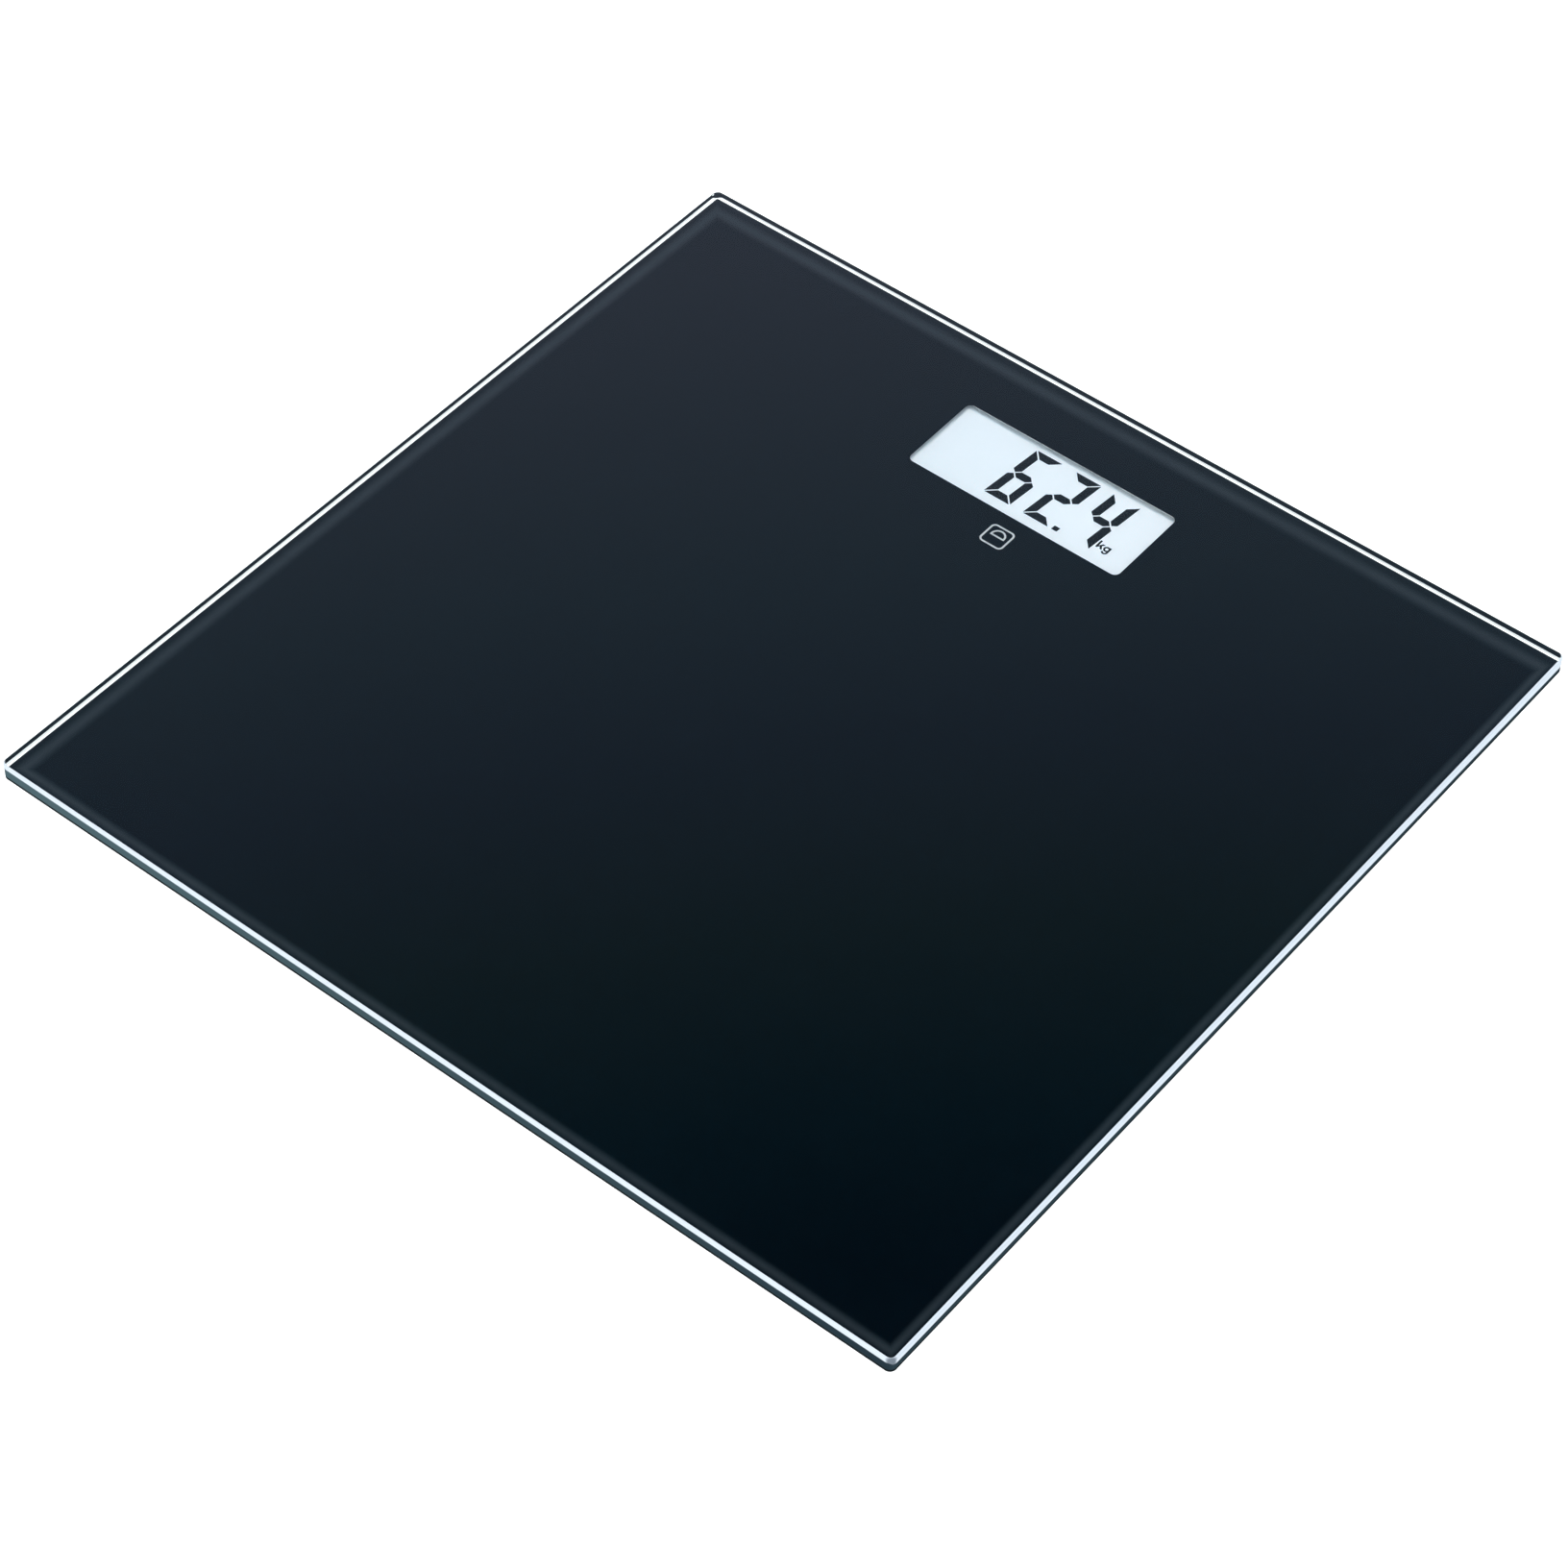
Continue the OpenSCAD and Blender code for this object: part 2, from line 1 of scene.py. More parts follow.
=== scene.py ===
import math
import bmesh
import bpy
from mathutils import Matrix, Vector


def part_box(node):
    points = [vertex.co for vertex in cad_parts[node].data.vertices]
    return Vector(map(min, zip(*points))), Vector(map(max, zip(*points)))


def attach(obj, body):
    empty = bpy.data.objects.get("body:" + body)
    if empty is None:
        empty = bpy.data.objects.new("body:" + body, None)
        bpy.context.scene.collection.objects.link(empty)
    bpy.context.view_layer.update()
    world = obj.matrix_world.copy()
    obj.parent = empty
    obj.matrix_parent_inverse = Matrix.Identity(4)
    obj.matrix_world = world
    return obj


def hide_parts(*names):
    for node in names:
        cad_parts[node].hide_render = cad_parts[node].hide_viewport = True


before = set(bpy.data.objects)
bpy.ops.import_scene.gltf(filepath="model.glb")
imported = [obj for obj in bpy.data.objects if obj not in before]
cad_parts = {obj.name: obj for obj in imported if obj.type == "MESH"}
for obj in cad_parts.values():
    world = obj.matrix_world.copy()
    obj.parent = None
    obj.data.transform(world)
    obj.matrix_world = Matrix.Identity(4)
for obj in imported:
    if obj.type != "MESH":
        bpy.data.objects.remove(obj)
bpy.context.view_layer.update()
mm = 0.001
feet = ["front_left", "front_right", "back_left", "back_right"]
print("scale: frame loaded,", len(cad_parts), "nodes")


# Shader helpers

class Socket:
    def __init__(self, finish, output):
        self.finish = finish
        self.output = output

    def maths(self, operation, first, second=0.0):
        return self.finish.node("Math", {"operation": operation}, {0: first, 1: second})

    def __add__(self, other):
        return self.maths("ADD", self, other)

    def __radd__(self, other):
        return self.maths("ADD", other, self)

    def __sub__(self, other):
        return self.maths("SUBTRACT", self, other)

    def __rsub__(self, other):
        return self.maths("SUBTRACT", other, self)

    def __mul__(self, other):
        return self.maths("MULTIPLY", self, other)

    def __rmul__(self, other):
        return self.maths("MULTIPLY", other, self)

    def __truediv__(self, other):
        return self.maths("DIVIDE", self, other)

    def __rtruediv__(self, other):
        return self.maths("DIVIDE", other, self)

    def __abs__(self):
        return self.maths("ABSOLUTE", self)

    def lowest(self, other):
        return self.maths("MINIMUM", self, other)

    def highest(self, other):
        return self.maths("MAXIMUM", self, other)

    def span(self, start, end):  # 0 at start, 1 at end, eased in between
        return self.finish.node("MapRange", {"interpolation_type": "SMOOTHSTEP"},
                                {"Value": self, "From Min": start, "From Max": end})


class Finish:
    def __init__(self, name, **fixed):
        self.material = bpy.data.materials.new(name)
        self.material.use_nodes = True
        self.tree = self.material.node_tree
        self.shader = self.tree.nodes["Principled BSDF"]
        for key, value in fixed.items():  # specular_IOR_level sets Specular IOR Level
            title = " ".join(word if word.isupper() else word.capitalize() for word in key.split("_"))
            self.feed(title, value)

    def feed(self, title, value, node=None):
        socket = (node or self.shader).inputs[title]
        if isinstance(value, Socket):
            self.tree.links.new(value.output, socket)
        elif isinstance(value, (tuple, list)) and socket.type == "RGBA":
            socket.default_value = (*value[:3], 1)
        else:
            socket.default_value = value

    def node(self, kind, settings=None, inputs=None, output=0):
        made = self.tree.nodes.new("ShaderNode" + kind)
        for key, value in (settings or {}).items():
            setattr(made, key, value)
        for key, value in (inputs or {}).items():
            self.feed(key, value, made)
        return Socket(self, made.outputs[output])

    def place(self):
        return self.node("TexCoord", output="Object")

    def apart(self, vector):
        split = self.node("SeparateXYZ", None, {"Vector": vector})
        outputs = split.output.node.outputs
        return [Socket(self, outputs[k]) for k in range(3)]

    def stretched(self, scale):
        return self.node("Mapping", None, {"Vector": self.place(), "Scale": scale})

    def noise(self, scale, detail=3.0, roughness=0.5, vector=None):
        return self.node("TexNoise", None, {"Vector": vector or self.place(), "Scale": scale, "Detail": detail,
                                            "Roughness": roughness})

    def cells(self, scale):
        return self.node("TexVoronoi", None, {"Vector": self.place(), "Scale": scale})

    def bands(self, scale, distortion=0.0):
        return self.node("TexWave", {"bands_direction": "X"},
                         {"Vector": self.place(), "Scale": scale, "Distortion": distortion}, "Fac")

    def blend(self, factor, first, second):
        return self.node("Mix", {"data_type": "RGBA"}, {0: factor, 6: first, 7: second}, 2)

    def bump(self, height, strength, distance):
        self.feed("Normal", self.node("Bump", None, {"Height": height, "Strength": strength,
                                                     "Distance": distance}))


# Finishes of the moulded, metal and small parts

def mouldedPlastic(name, colour, worn, roughness=0.5):
    finish = Finish(name)
    fine = finish.noise(2600.0, 2.0)
    patches = finish.noise(60.0, 4.0, 0.6)
    finish.feed("Base Color", finish.blend(patches.span(0.35, 0.75) * 0.5 + fine * 0.12, colour, worn))
    finish.feed("Roughness", patches * 0.14 + fine * 0.1 + (roughness - 0.12))
    finish.bump(fine, 0.35, 0.00004)
    return finish.material


def platedMetal(name, colour, shade, roughness, stretch):
    finish = Finish(name, metallic=1.0)
    grain = finish.noise(900.0, 3.0, 0.6, finish.stretched(stretch))
    cloud = finish.noise(90.0, 3.0)
    finish.feed("Base Color", finish.blend(cloud.span(0.3, 0.7) * 0.6 + grain * 0.2, colour, shade))
    finish.feed("Roughness", grain * 0.16 + cloud * 0.08 + (roughness - 0.12))
    finish.bump(grain, 0.2, 0.00002)
    return finish.material


def softRubber(name, colour, dust, roughness=0.72, grain=1800.0):
    finish = Finish(name, specular_IOR_level=0.35)
    pores = finish.cells(grain)
    patches = finish.noise(120.0, 5.0, 0.65)
    finish.feed("Base Color", finish.blend(patches.span(0.45, 0.8) * 0.55, colour, dust))
    finish.feed("Roughness", patches * 0.12 + (roughness - 0.06))
    finish.bump(pores, 0.3, 0.00005)
    return finish.material


def foamTapeFinish():
    finish = Finish("closedCellFoam", specular_IOR_level=0.3)
    pores = finish.cells(2400.0)
    finish.feed("Base Color", finish.blend(pores.span(0.1, 0.6), (0.62, 0.62, 0.6), (0.84, 0.84, 0.82)))
    finish.feed("Roughness", pores * 0.1 + 0.8)
    finish.bump(pores, 0.6, 0.0001)
    return finish.material


def boardFinish():
    finish = Finish("solderMask", coat_weight=0.25)
    tracks = finish.node("TexBrick", {"offset": 0.37}, {
        "Vector": finish.place(), "Scale": 160.0, "Mortar Size": 0.035,
        "Color1": (0, 0, 0), "Color2": (0, 0, 0), "Mortar": (1, 1, 1)})
    vias = 1 - finish.cells(210.0).span(0.08, 0.13)
    mask = (tracks * 0.7 + vias * 0.6).lowest(1.0)
    finish.feed("Base Color", finish.blend(mask, (0.012, 0.1, 0.04), (0.03, 0.24, 0.09)))
    finish.feed("Roughness", finish.noise(300.0) * 0.12 + 0.28)
    finish.bump(tracks, 0.3, 0.00004)
    return finish.material


def castResin(name, colour, roughness):
    finish = Finish(name)
    flow = finish.noise(260.0, 2.0)
    finish.feed("Base Color", finish.blend(flow, colour, tuple(channel * 1.5 for channel in colour)))
    finish.feed("Roughness", flow * 0.1 + (roughness - 0.05))
    finish.bump(flow, 0.3, 0.00008)
    return finish.material


def smallPartsFinish():
    finish = Finish("chipParts")
    terminals = finish.bands(260.0, 0.3)
    body = finish.blend(finish.noise(500.0), (0.3, 0.22, 0.13), (0.42, 0.33, 0.22))
    finish.feed("Base Color", finish.blend(terminals.span(0.75, 0.95), body, (0.62, 0.62, 0.6)))
    finish.feed("Roughness", terminals * 0.15 + 0.4)
    return finish.material


def wireSleeve(name, colour, shade):
    finish = Finish(name)
    rub = finish.noise(700.0, 3.0)
    finish.feed("Base Color", finish.blend(rub.span(0.4, 0.7), colour, shade))
    finish.feed("Roughness", rub * 0.15 + 0.38)
    finish.bump(rub, 0.15, 0.00002)
    return finish.material


def stripedElastomer():
    finish = Finish("stripedElastomer", roughness=0.7)
    stripes = finish.bands(1600.0)
    finish.feed("Base Color", finish.blend(stripes.span(0.4, 0.6), (0.03, 0.03, 0.032), (0.5, 0.5, 0.5)))
    finish.bump(stripes, 0.2, 0.00003)
    return finish.material


# Finishes of the glass, the print and the display

glassLook = {
    "refraction": 1.52,
    "body": (0.955, 0.995, 0.985),
    "bodyCloud": (0.945, 0.99, 0.98),
    "inside": (0.95, 0.99, 0.985),  # colour of the glass edge, seen from inside
}

edgeLook = {  # painted light on the outside of the glass sides: a painted highlight band at the top, painted reflection and shade below it, painted shade at the bottom and on the far arris; distances in millimetres, depths from the top of the glass
    "paintedHighlight": (0.51, 0.565, 0.61),
    "paintedHighlightStripe": (0.45, 0.50, 0.55),
    "brightGrit": (0.9, 0.95, 0.97),
    "paintedCornerShade": (0.13, 0.155, 0.18),
    "paintedSideShade": (0.012, 0.022, 0.03),
    "paintedSideReflection": (0.055, 0.09, 0.10),
    "rim": (0.006, 0.009, 0.01),
    "paintedFarArrisShade": (0.042, 0.064, 0.062),
    "brightDepth": 1.7,  # on the front and back
    "brightDepthSides": 2.84,
    "brightDepthSlope": 0.0011,
    "brightDepthSlopeSides": 0.0025,
    "stripeDepth": 0.62,
    "stripeFade": (0.1, 0.45),
    "rimFade": (4.35, 4.65),
    "arrisFade": (0.42, 0.5),
    "patchFade": (2.3, 1.3),  # before the point where two sides would meet
    "cornerFade": (1.8, 1.2),
}


def polishedGlassFinish(name, sheen):
    finish = Finish(name, transmission_weight=1.0, IOR=glassLook["refraction"], roughness=0.0, specular_tint=sheen)
    streaks = finish.noise(9.0, 2.0)
    finish.feed("Base Color", finish.blend(streaks, glassLook["body"], glassLook["bodyCloud"]))
    return finish.material


def glassEdgeFinish():
    low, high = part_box("glass_platform")
    # Seen from outside the sides are opaque, coloured with painted highlight, reflection and shade; seen from
    # inside they are clear glass
    finish = Finish("glassEdge", specular_IOR_level=0.0, roughness=0.35)
    x, y, z = [axis * 1000 for axis in finish.apart(finish.place())]
    reach = high[0] * 1000  # from the middle to a side
    down = high[2] * 1000 - z
    onSides = (abs(x) - abs(y)).span(-1.0, 1.0)
    depthEnds = x * edgeLook["brightDepthSlope"] + edgeLook["brightDepth"]
    depthSides = y * edgeLook["brightDepthSlopeSides"] + edgeLook["brightDepthSides"]
    depth = depthEnds + onSides * (depthSides - depthEnds)
    grit = finish.noise(4200.0, 2.0)

    # painted highlight: a pale band at the top of each side, with a greyer stripe across it on the left and right
    # sides, and painted shade where it turns round the front right and back left corners
    stripe = 1 - abs(down - edgeLook["stripeDepth"]).span(*edgeLook["stripeFade"])
    paintedHighlight = finish.blend(stripe * onSides, edgeLook["paintedHighlight"], edgeLook["paintedHighlightStripe"])
    paintedHighlight = finish.blend(grit * 0.15, paintedHighlight, edgeLook["brightGrit"])
    patchStart, patchEnd = (2 * reach - before for before in edgeLook["patchFade"])
    turned = (abs(x) + abs(y)).span(patchStart, patchEnd) * abs(x - y).span(reach, reach * 1.2)
    paintedHighlight = finish.blend(turned, paintedHighlight, edgeLook["paintedCornerShade"])

    # painted reflection and shade: below the band each side is dark teal, paler towards the left on the front and
    # back, and painted darker near the bottom as shade
    pale = (x * (-1 / (2 * reach)) + 0.5).lowest(1.0) * (1 - onSides) + onSides * 0.15
    paintedSideShade = finish.blend(pale + grit * 0.1, edgeLook["paintedSideShade"], edgeLook["paintedSideReflection"])
    paintedSideShade = finish.blend(down.span(*edgeLook["rimFade"]), paintedSideShade, edgeLook["rim"])
    shade = finish.blend((down - depth).span(-0.15, 0.15), paintedHighlight, paintedSideShade)

    # painted shade: the arris along the left and back edges, and round the far corner, is coloured dark
    cornerStart, cornerEnd = (2 * reach - before for before in edgeLook["cornerFade"])
    corner = (y - x).span(cornerStart, cornerEnd)  # the far corner, between the left and the back
    far = (y - reach).highest(-reach - x).span(-0.6, -0.5) * (1 - corner) + corner * down.span(0.1, 0.25)
    onArris = 1 - down.span(*edgeLook["arrisFade"])
    finish.feed("Base Color", finish.blend(far * onArris, shade, edgeLook["paintedFarArrisShade"]))
    finish.bump(grit, 0.2, 0.00001)

    inside = finish.node("BsdfGlass", None, {"Color": glassLook["inside"], "IOR": glassLook["refraction"],
                                             "Roughness": 0.0})
    facing = finish.node("NewGeometry", output="Backfacing")
    mixed = finish.node("MixShader", None, {0: facing, 1: Socket(finish, finish.shader.outputs[0]), 2: inside})
    finish.feed("Surface", mixed, finish.tree.nodes["Material Output"])
    return finish.material


firedPrint = {  # the print's black ink, with a painted glow band inside each edge of the glass; distances in millimetres
    "ink": (0.0006, 0.0034, 0.0063),
    "inkCloud": (0.0010, 0.0039, 0.0068),
    "paintedEdgeGlow": (0.030, 0.040, 0.049),  # painted glow: a paler band standing in for light near the edges of the glass
    "paintedEdgeGlowInsets": {"left": 4.28, "right": 3.32, "front": 4.05, "back": 5.35},  # from the edge of the glass
    "paintedEdgeGlowHalves": {"left": 1.5, "right": 0.95, "front": 1.05, "back": 1.75},
    "paintedEdgeGlowSkirt": 0.16,  # how much of the painted glow's colour is left outside it
}


def firedPrintFinish():
    low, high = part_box("glass_platform")
    finish = Finish("firedPrint", specular_IOR_level=0.0)
    x, y, z = finish.apart(finish.place())
    insets = {"left": x - low[0], "right": high[0] - x, "front": y - low[1], "back": high[1] - y}
    reaches = [(inset * 1000 - firedPrint["paintedEdgeGlowInsets"][side]) / firedPrint["paintedEdgeGlowHalves"][side]
               for side, inset in insets.items()]
    across = reaches[0].lowest(reaches[1]).lowest(reaches[2]).lowest(reaches[3])
    # painted glow band, at its own inset from each edge
    paintedEdgeGlow = 1 - abs(across).span(0.0, 2.1)
    paintedEdgeGlowSkirt = (1 - across.span(-2.0, 0.0)) * firedPrint["paintedEdgeGlowSkirt"]
    cloud = finish.noise(45.0, 3.0)
    body = finish.blend(cloud.span(0.35, 0.65), firedPrint["ink"], firedPrint["inkCloud"])
    finish.feed("Base Color", finish.blend(paintedEdgeGlow.highest(paintedEdgeGlowSkirt), body, firedPrint["paintedEdgeGlow"]))
    finish.feed("Roughness", finish.noise(2200.0) * 0.2 + 0.45)
    return finish.material


def whiteInkFinish():
    finish = Finish("whiteInk", specular_IOR_level=0.0, roughness=0.5)
    speck = finish.noise(1500.0)
    finish.feed("Base Color", finish.blend(speck, (0.84, 0.87, 0.89), (0.9, 0.92, 0.93)))
    return finish.material


display = {
    "field": (0.80, 0.87, 0.93),
    # painted light: the paler end of the field, towards the right
    "fieldPale": (0.86, 0.91, 0.96),
    # painted light: the field glows, though the display has no backlight
    "glow": (0.28, 0.265, 0.29),
    "glowFades": {"left": (2.1, 3.2), "back": (3.1, 4.5)},  # millimetres in from the edges of the front glass; the glow fades out towards the left and back edges as painted shade under the edge of the window
    "ink": (0.0012, 0.0009, 0.0008),
    "inkCloud": 1.6,  # how much paler the ink gets in places
    "pane": (0.9, 0.93, 0.97),
    "paneRoughness": 0.08,
}


def displayFieldFinish():
    low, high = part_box("lcd_front_glass")
    finish = Finish("displayField", specular_IOR_level=0.0, roughness=0.6, emission_strength=1.0)
    x, y, z = finish.apart(finish.place())
    across = (x - low[0]) / (high[0] - low[0])
    cloud = finish.noise(30.0, 2.0)
    # painted light: with some random clouding, the field is paler towards the right
    mix = (across * 0.8 + cloud * 0.4 - 0.1).span(0.1, 0.9)
    finish.feed("Base Color", finish.blend(mix, display["field"], display["fieldPale"]))
    # painted shade: no glow near the left and back edges
    litLeft = ((x - low[0]) * 1000).span(*display["glowFades"]["left"])
    litBack = ((high[1] - y) * 1000).span(*display["glowFades"]["back"])
    finish.feed("Emission Color", finish.blend(litLeft * litBack, (0.0, 0.0, 0.0), display["glow"]))
    return finish.material


def displayInkFinish():
    finish = Finish("displaySegments", specular_IOR_level=0.0)
    cloud = finish.noise(400.0)
    paler = tuple(display["inkCloud"] * channel for channel in display["ink"])
    finish.feed("Base Color", finish.blend(cloud, display["ink"], paler))
    finish.feed("Roughness", cloud * 0.1 + 0.45)
    return finish.material


def displayPaneFinish():
    finish = Finish("displayPane", metallic=1.0, base_color=display["pane"])
    haze = finish.noise(1800.0)
    finish.feed("Roughness", haze * 0.04 + (display["paneRoughness"] - 0.02))
    finish.feed("Alpha", haze * 0.004 + 0.004)
    return finish.material


def reflectorFinish():
    finish = Finish("silverReflector", metallic=0.4)
    weave = finish.noise(1200.0)
    finish.feed("Base Color", finish.blend(weave, (0.7, 0.73, 0.76), (0.82, 0.85, 0.88)))
    finish.feed("Roughness", weave * 0.1 + 0.4)
    return finish.material


finishes = {
    "polishedGlass": polishedGlassFinish("polishedGlass", (1.0, 1.0, 1.0)),
    "coatedGlass": polishedGlassFinish("coatedGlass", (0.02, 0.02, 0.02)),
    "glassEdge": glassEdgeFinish(),
    "firedPrint": firedPrintFinish(),
    "whiteInk": whiteInkFinish(),
    "displayField": displayFieldFinish(),
    "displaySegments": displayInkFinish(),
    "displayPane": displayPaneFinish(),
    "reflector": reflectorFinish(),
    "darkPlastic": mouldedPlastic("darkPlastic", (0.035, 0.037, 0.04), (0.06, 0.063, 0.067)),
    "blackPlastic": mouldedPlastic("blackPlastic", (0.018, 0.019, 0.021), (0.034, 0.036, 0.039), 0.46),
    "greyPlastic": mouldedPlastic("greyPlastic", (0.30, 0.32, 0.34), (0.38, 0.40, 0.42), 0.42),
    "whitePlastic": mouldedPlastic("whitePlastic", (0.80, 0.81, 0.81), (0.86, 0.87, 0.87), 0.45),
    "padRubber": softRubber("padRubber", (0.035, 0.037, 0.04), (0.09, 0.09, 0.09)),
    "silicone": softRubber("whiteSilicone", (0.78, 0.78, 0.76), (0.86, 0.86, 0.85), 0.45, 700.0),
    "elastomer": stripedElastomer(),
    "foam": foamTapeFinish(),
    "cellSteel": platedMetal("cellSteel", (0.62, 0.63, 0.64), (0.5, 0.51, 0.53), 0.34, (1.0, 0.08, 1.0)),
    "zincSteel": platedMetal("zincSteel", (0.66, 0.66, 0.65), (0.54, 0.55, 0.56), 0.32, (1.0, 1.0, 0.2)),
    "springBrass": platedMetal("springBrass", (0.78, 0.62, 0.32), (0.66, 0.5, 0.24), 0.3, (0.1, 1.0, 1.0)),
    "board": boardFinish(),
    "epoxy": castResin("blackEpoxy", (0.012, 0.012, 0.013), 0.22),
    "chips": smallPartsFinish(),
    "sleeveRed": wireSleeve("sleeveRed", (0.46, 0.02, 0.015), (0.6, 0.05, 0.04)),
}
print("scale: finishes made,", len(finishes))


# Modelling helpers

softEdges = {"segments": 2, "sharp": 35, "mergeWithin": 1e-6, "flatWithin": 0.5}  # angles in degrees


def addPiece(name, shape, materials, body, replaced):
    mesh = bpy.data.meshes.new(name)
    shape.to_mesh(mesh)
    shape.free()
    piece = bpy.data.objects.new(name, mesh)
    bpy.context.scene.collection.objects.link(piece)
    for material in materials:
        mesh.materials.append(finishes[material])
    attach(piece, body)
    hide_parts(replaced)
    return piece


def bevelEdges(shape, edges, width, segments):
    bmesh.ops.bevel(shape, geom=edges, offset=width, offset_type="OFFSET", affect="EDGES", segments=segments,
                    profile=0.5, material=-1)


def softenFaces(shape, sharpAngle):
    for face in shape.faces:
        face.smooth = True
    for edge in shape.edges:
        edge.smooth = len(edge.link_faces) == 2 and edge.calc_face_angle(0) < math.radians(sharpAngle)


def roundedBlock(low, high, cornerRadius, cornerSteps):
    shape = bmesh.new()
    bmesh.ops.create_cube(shape, size=1)
    size = Vector(high) - Vector(low)
    bmesh.ops.scale(shape, vec=size, verts=shape.verts)
    bmesh.ops.translate(shape, vec=(Vector(low) + Vector(high)) / 2, verts=shape.verts)
    upright = [e for e in shape.edges if abs((e.verts[0].co - e.verts[1].co).z) > size.z * 0.5]
    bevelEdges(shape, upright, cornerRadius, cornerSteps)
    return shape


def rimEdges(shape, height):
    return [e for e in shape.edges if all(abs(v.co.z - height) < 1e-7 for v in e.verts)
            and any(abs(f.normal.z) < 0.5 for f in e.link_faces)]


def spunShape(profile, centre, steps):
    shape = bmesh.new()
    points = [shape.verts.new((centre[0] + r * mm, centre[1], z * mm)) for r, z in profile]
    for first, second in zip(points, points[1:]):
        shape.edges.new((first, second))
    bmesh.ops.spin(shape, geom=shape.verts[:] + shape.edges[:], cent=(centre[0], centre[1], 0), axis=(0, 0, 1),
                   angle=2 * math.pi, steps=steps, use_merge=True)
    bmesh.ops.remove_doubles(shape, verts=shape.verts, dist=1e-7)
    bmesh.ops.recalc_face_normals(shape, faces=shape.faces)
    return shape


def bevelledCopy(name, node, material, body, width):
    shape = bmesh.new()
    shape.from_mesh(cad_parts[node].data)
    bmesh.ops.remove_doubles(shape, verts=shape.verts, dist=softEdges["mergeWithin"])
    bmesh.ops.dissolve_limit(shape, angle_limit=math.radians(softEdges["flatWithin"]), verts=shape.verts,
                             edges=shape.edges)
    softenFaces(shape, softEdges["sharp"])
    piece = addPiece(name, shape, [material], body, node)
    bevel = piece.modifiers.new("softEdges", "BEVEL")
    bevel.width = width * mm
    bevel.segments = softEdges["segments"]
    bevel.limit_method = "ANGLE"
    bevel.angle_limit = math.radians(softEdges["sharp"])
    bevel.harden_normals = True
    bevel.use_clamp_overlap = True


# Glass platform: polished top, sides with painted highlight and shade, coated underside

platform = {"cornerRadius": 2.0, "cornerSteps": 12, "topArris": 0.45, "bottomArris": 0.08, "arrisSteps": 2,
            "intoPrint": 0.03, "flatNormal": 0.97, "sharp": 20}
low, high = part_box("glass_platform")
low = Vector((low[0], low[1], low[2] - platform["intoPrint"] * mm))
shape = roundedBlock(low, high, platform["cornerRadius"] * mm, platform["cornerSteps"])
bevelEdges(shape, rimEdges(shape, high[2]), platform["topArris"] * mm, platform["arrisSteps"])
bevelEdges(shape, rimEdges(shape, low[2]), platform["bottomArris"] * mm, 1)
shape.normal_update()
for face in shape.faces:
    face.material_index = 1
    if face.normal.z >= platform["flatNormal"]:
        face.material_index = 0
    elif face.normal.z <= -platform["flatNormal"]:
        face.material_index = 2
softenFaces(shape, platform["sharp"])
addPiece("platformGlass", shape, ["polishedGlass", "glassEdge", "coatedGlass"], "platform",
         "glass_platform")
print("scale: glass made")


# Display pane over the segments

pane = {"gap": 0.02, "bevel": 0.1, "cornerRadius": 0.3, "cornerSteps": 3, "sharp": 32}
low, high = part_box("lcd_front_glass")
low = Vector((low[0], low[1], low[2] + pane["gap"] * mm))
shape = roundedBlock(low, high, pane["cornerRadius"] * mm, pane["cornerSteps"])
bevelEdges(shape, rimEdges(shape, high[2]), pane["bevel"] * mm, 1)
softenFaces(shape, pane["sharp"])
addPiece("displayPane", shape, ["displayPane"], "platform", "lcd_front_glass")


# Feet: rubber pads with moulded rings, caps and carriers

pad = {"radius": 18, "height": 2, "edge": 0.8, "edgeSteps": 4, "chamfer": 0.15, "rings": [5.2, 8.4, 11.6, 14.8],
       "ringWidth": 1.0, "ringDepth": 0.45, "steps": 96, "sharp": 40}


def padProfile():
    radius, height, edge, chamfer = (pad[key] for key in ["radius", "height", "edge", "chamfer"])
    profile = [(0, height), (radius - chamfer, height), (radius, height - chamfer)]
    for k in range(pad["edgeSteps"] + 1):  # rounded lower edge
        turn = math.radians(90 * k / pad["edgeSteps"])
        profile.append((radius - edge * (1 - math.cos(turn)), edge * (1 - math.sin(turn))))
    for ring in reversed(pad["rings"]):
        half = pad["ringWidth"] / 2
        profile += [(ring + half, 0), (ring + half - chamfer, pad["ringDepth"]),
                    (ring - half + chamfer, pad["ringDepth"]), (ring - half, 0)]
    return profile + [(0, 0)]


for foot in feet:
    low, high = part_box(foot + "_pad")
    shape = spunShape(padProfile(), ((low[0] + high[0]) / 2, (low[1] + high[1]) / 2), pad["steps"])
    softenFaces(shape, pad["sharp"])
    addPiece(foot + "_rubberPad", shape, ["padRubber"], foot + "_foot", foot + "_pad")
    bevelledCopy(foot + "_sprungCap", foot + "_cap", "darkPlastic", foot + "_foot", 0.2)
    bevelledCopy(foot + "_carrierCup", foot + "_carrier", "blackPlastic", "platform", 0.3)
print("scale: feet made")


# Pod, door, button and display frame

bevelledCopy("podShell", "pod_housing", "darkPlastic", "platform", 0.25)
bevelledCopy("slidingDoor", "battery_door", "darkPlastic", "door", 0.12)
bevelledCopy("buttonCap", "unit_button", "greyPlastic", "button", 0.2)
bevelledCopy("displayFrame", "lcd_frame", "whitePlastic", "platform", 0.12)
for side in ["left", "right", "back_left", "back_right"]:
    bevelledCopy(side + "_channel", side + "_wire_cover", "blackPlastic", "platform", 0.15)
print("scale: pod made")


# CAD nodes that keep their own shape

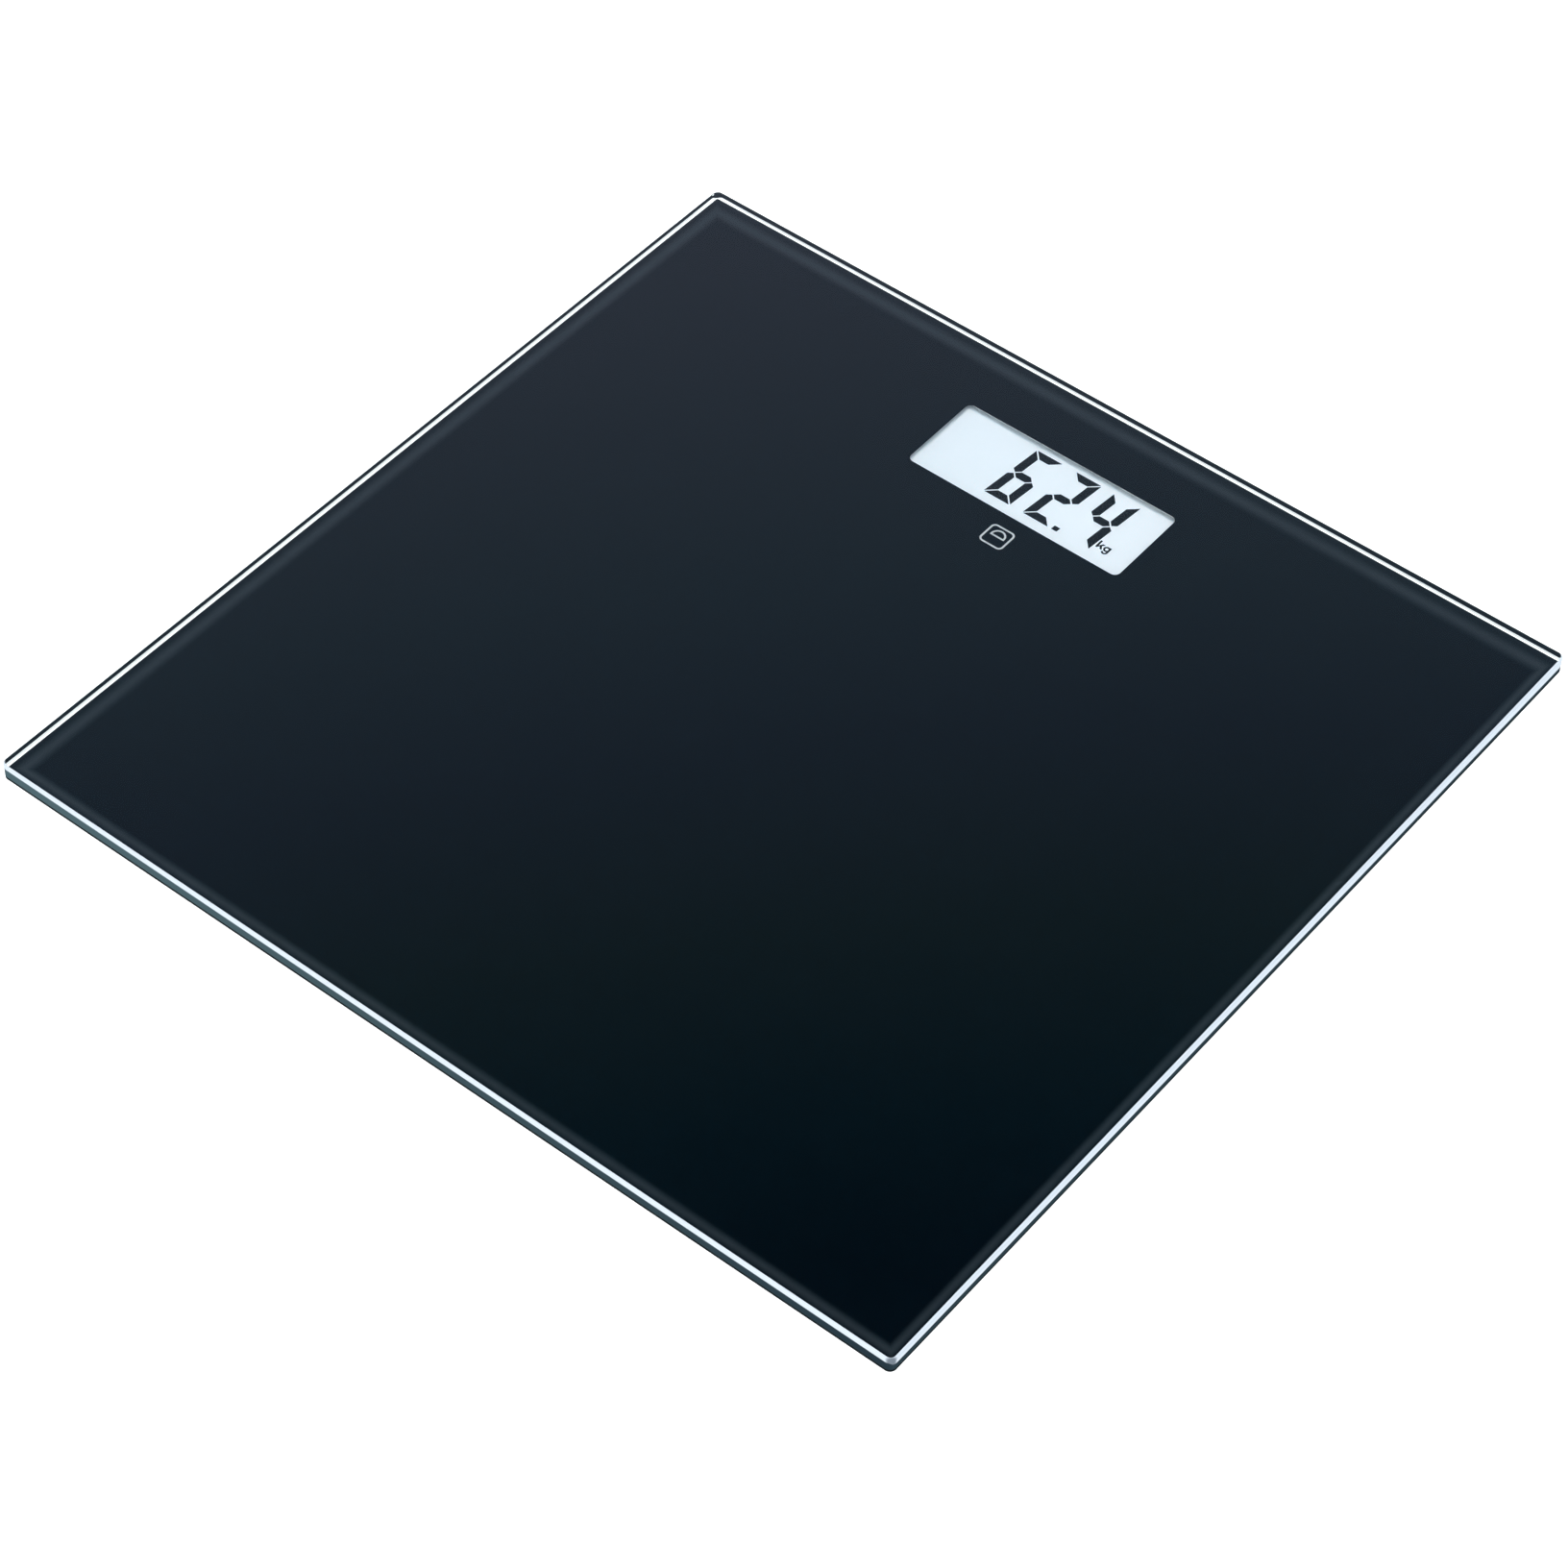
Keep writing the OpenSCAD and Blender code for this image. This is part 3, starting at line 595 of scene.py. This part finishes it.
shownNodes = {
    "back_print": "firedPrint", "print_mark": "whiteInk", "lcd_segments": "displaySegments",
    "lcd_rear_glass": "displayField", "lcd_backing": "reflector", "lcd_connector": "elastomer",
    "circuit_board": "board", "controller_blob": "epoxy", "board_parts": "chips", "unit_switch": "zincSteel",
    "board_screws": "zincSteel", "pod_tape": "foam", "coin_cell": "cellSteel", "contact_plus": "springBrass",
    "contact_minus": "springBrass",
}
for foot in feet:
    shownNodes[foot + "_tape"] = "foam"
    shownNodes[foot + "_cell"] = "cellSteel"
    shownNodes[foot + "_resin"] = "silicone"
    shownNodes[foot + "_wires"] = "sleeveRed"
for node, finish in shownNodes.items():
    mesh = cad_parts[node].data
    mesh.materials.clear()
    mesh.materials.append(finishes[finish])
print("scale: CAD nodes finished,", len(shownNodes))


# Floor, light and camera

studio = {
    "floorSize": 60,
    "floorColour": (0.55, 0.55, 0.55),
    "floorPale": (0.57, 0.57, 0.57),
    "floorGlow": 0.95,
    "sunHeading": 35,  # degrees round from the front, to the right
    "sunHeight": 66,
    "sunSpread": 55,
    "sunPower": 3.2,
    "skyPower": 1.12,
    "skyLean": (0.068, 0.042, 1.0),  # the dark top of the sky leans a little to the right and back
    "sky": [  # by the sine of the height above the horizon
        (0.0, (1.0, 1.0, 1.0)),
        (0.34, (0.86, 0.91, 0.98)),
        (0.574, (0.50, 0.57, 0.74)),
        (0.661, (0.36, 0.44, 0.60)),
        (0.712, (0.21, 0.31, 0.42)),
        (0.737, (0.15, 0.22, 0.32)),
        (0.765, (0.085, 0.155, 0.185)),
        (0.792, (0.028, 0.082, 0.12)),
        (0.812, (0.012, 0.035, 0.06)),
        (0.84, (0.008, 0.02, 0.04)),
    ],
}


def towards(heading, height):  # direction from the middle, angles in degrees
    turn, rise = math.radians(heading), math.radians(height)
    return Vector((math.sin(turn) * math.cos(rise), -math.cos(turn) * math.cos(rise), math.sin(rise)))


shape = bmesh.new()
bmesh.ops.create_grid(shape, x_segments=1, y_segments=1, size=studio["floorSize"] / 2)
floorMesh = bpy.data.meshes.new("floor")
shape.to_mesh(floorMesh)
shape.free()
floor = bpy.data.objects.new("floor", floorMesh)
bpy.context.scene.collection.objects.link(floor)
floorFinish = Finish("paleFloor", specular_IOR_level=0.1, emission_color=(1.0, 1.0, 1.0),
                     emission_strength=studio["floorGlow"])
floorGrain = floorFinish.noise(40.0, 2.0)
floorFinish.feed("Base Color", floorFinish.blend(floorGrain, studio["floorColour"], studio["floorPale"]))
floorFinish.feed("Roughness", floorGrain * 0.1 + 0.75)
floorMesh.materials.append(floorFinish.material)

sun = bpy.data.objects.new("softSun", bpy.data.lights.new("softSun", "SUN"))
sun.data.energy = studio["sunPower"]
sun.data.angle = math.radians(studio["sunSpread"])
toSun = towards(studio["sunHeading"], studio["sunHeight"])
sun.rotation_euler = toSun.to_track_quat("Z", "Y").to_euler()
bpy.context.scene.collection.objects.link(sun)

world = bpy.data.worlds.new("studioSky")
bpy.context.scene.world = world
world.use_nodes = True
skyTree = world.node_tree
background = skyTree.nodes["Background"]
direction = skyTree.nodes.new("ShaderNodeTexCoord")
lean = skyTree.nodes.new("ShaderNodeVectorMath")
lean.operation = "DOT_PRODUCT"
lean.inputs[1].default_value = studio["skyLean"]
ramp = skyTree.nodes.new("ShaderNodeValToRGB")
for sine, colour in studio["sky"]:
    stop = ramp.color_ramp.elements.new(sine) if sine > 0 else ramp.color_ramp.elements[0]
    stop.color = (*colour, 1)
ramp.color_ramp.elements.remove(ramp.color_ramp.elements[-1])  # the stop that a new ramp has at its end
skyTree.links.new(direction.outputs["Generated"], lean.inputs[0])
skyTree.links.new(lean.outputs["Value"], ramp.inputs[0])
skyTree.links.new(ramp.outputs[0], background.inputs["Color"])
background.inputs["Strength"].default_value = studio["skyPower"]

view = {
    "heading": 37.674, "height": 48.4653, "roll": 1.4965,  # degrees
    "distance": 1.2126257, "target": (0.0051923, -0.01045, 0.0004),
    "lens": 102.859, "sensor": 36,
    "nearest": 0.01, "farthest": 200,
}
back = towards(view["heading"], view["height"])
heading, roll = math.radians(view["heading"]), math.radians(view["roll"])
level = Vector((math.cos(heading), math.sin(heading), 0))
upright = back.cross(level)
right = level * math.cos(roll) + upright * math.sin(roll)
up = upright * math.cos(roll) - level * math.sin(roll)
stand = Matrix((right, up, back)).transposed().to_4x4()
stand.translation = Vector(view["target"]) + back * view["distance"]
camera = bpy.data.objects.new("camera", bpy.data.cameras.new("camera"))
camera.data.lens = view["lens"]
camera.data.sensor_width = view["sensor"]
camera.data.clip_start = view["nearest"]
camera.data.clip_end = view["farthest"]
camera.matrix_world = stand
bpy.context.scene.collection.objects.link(camera)
bpy.context.scene.camera = camera
bpy.context.scene.view_settings.view_transform = "Standard"
print("scale: studio ready")
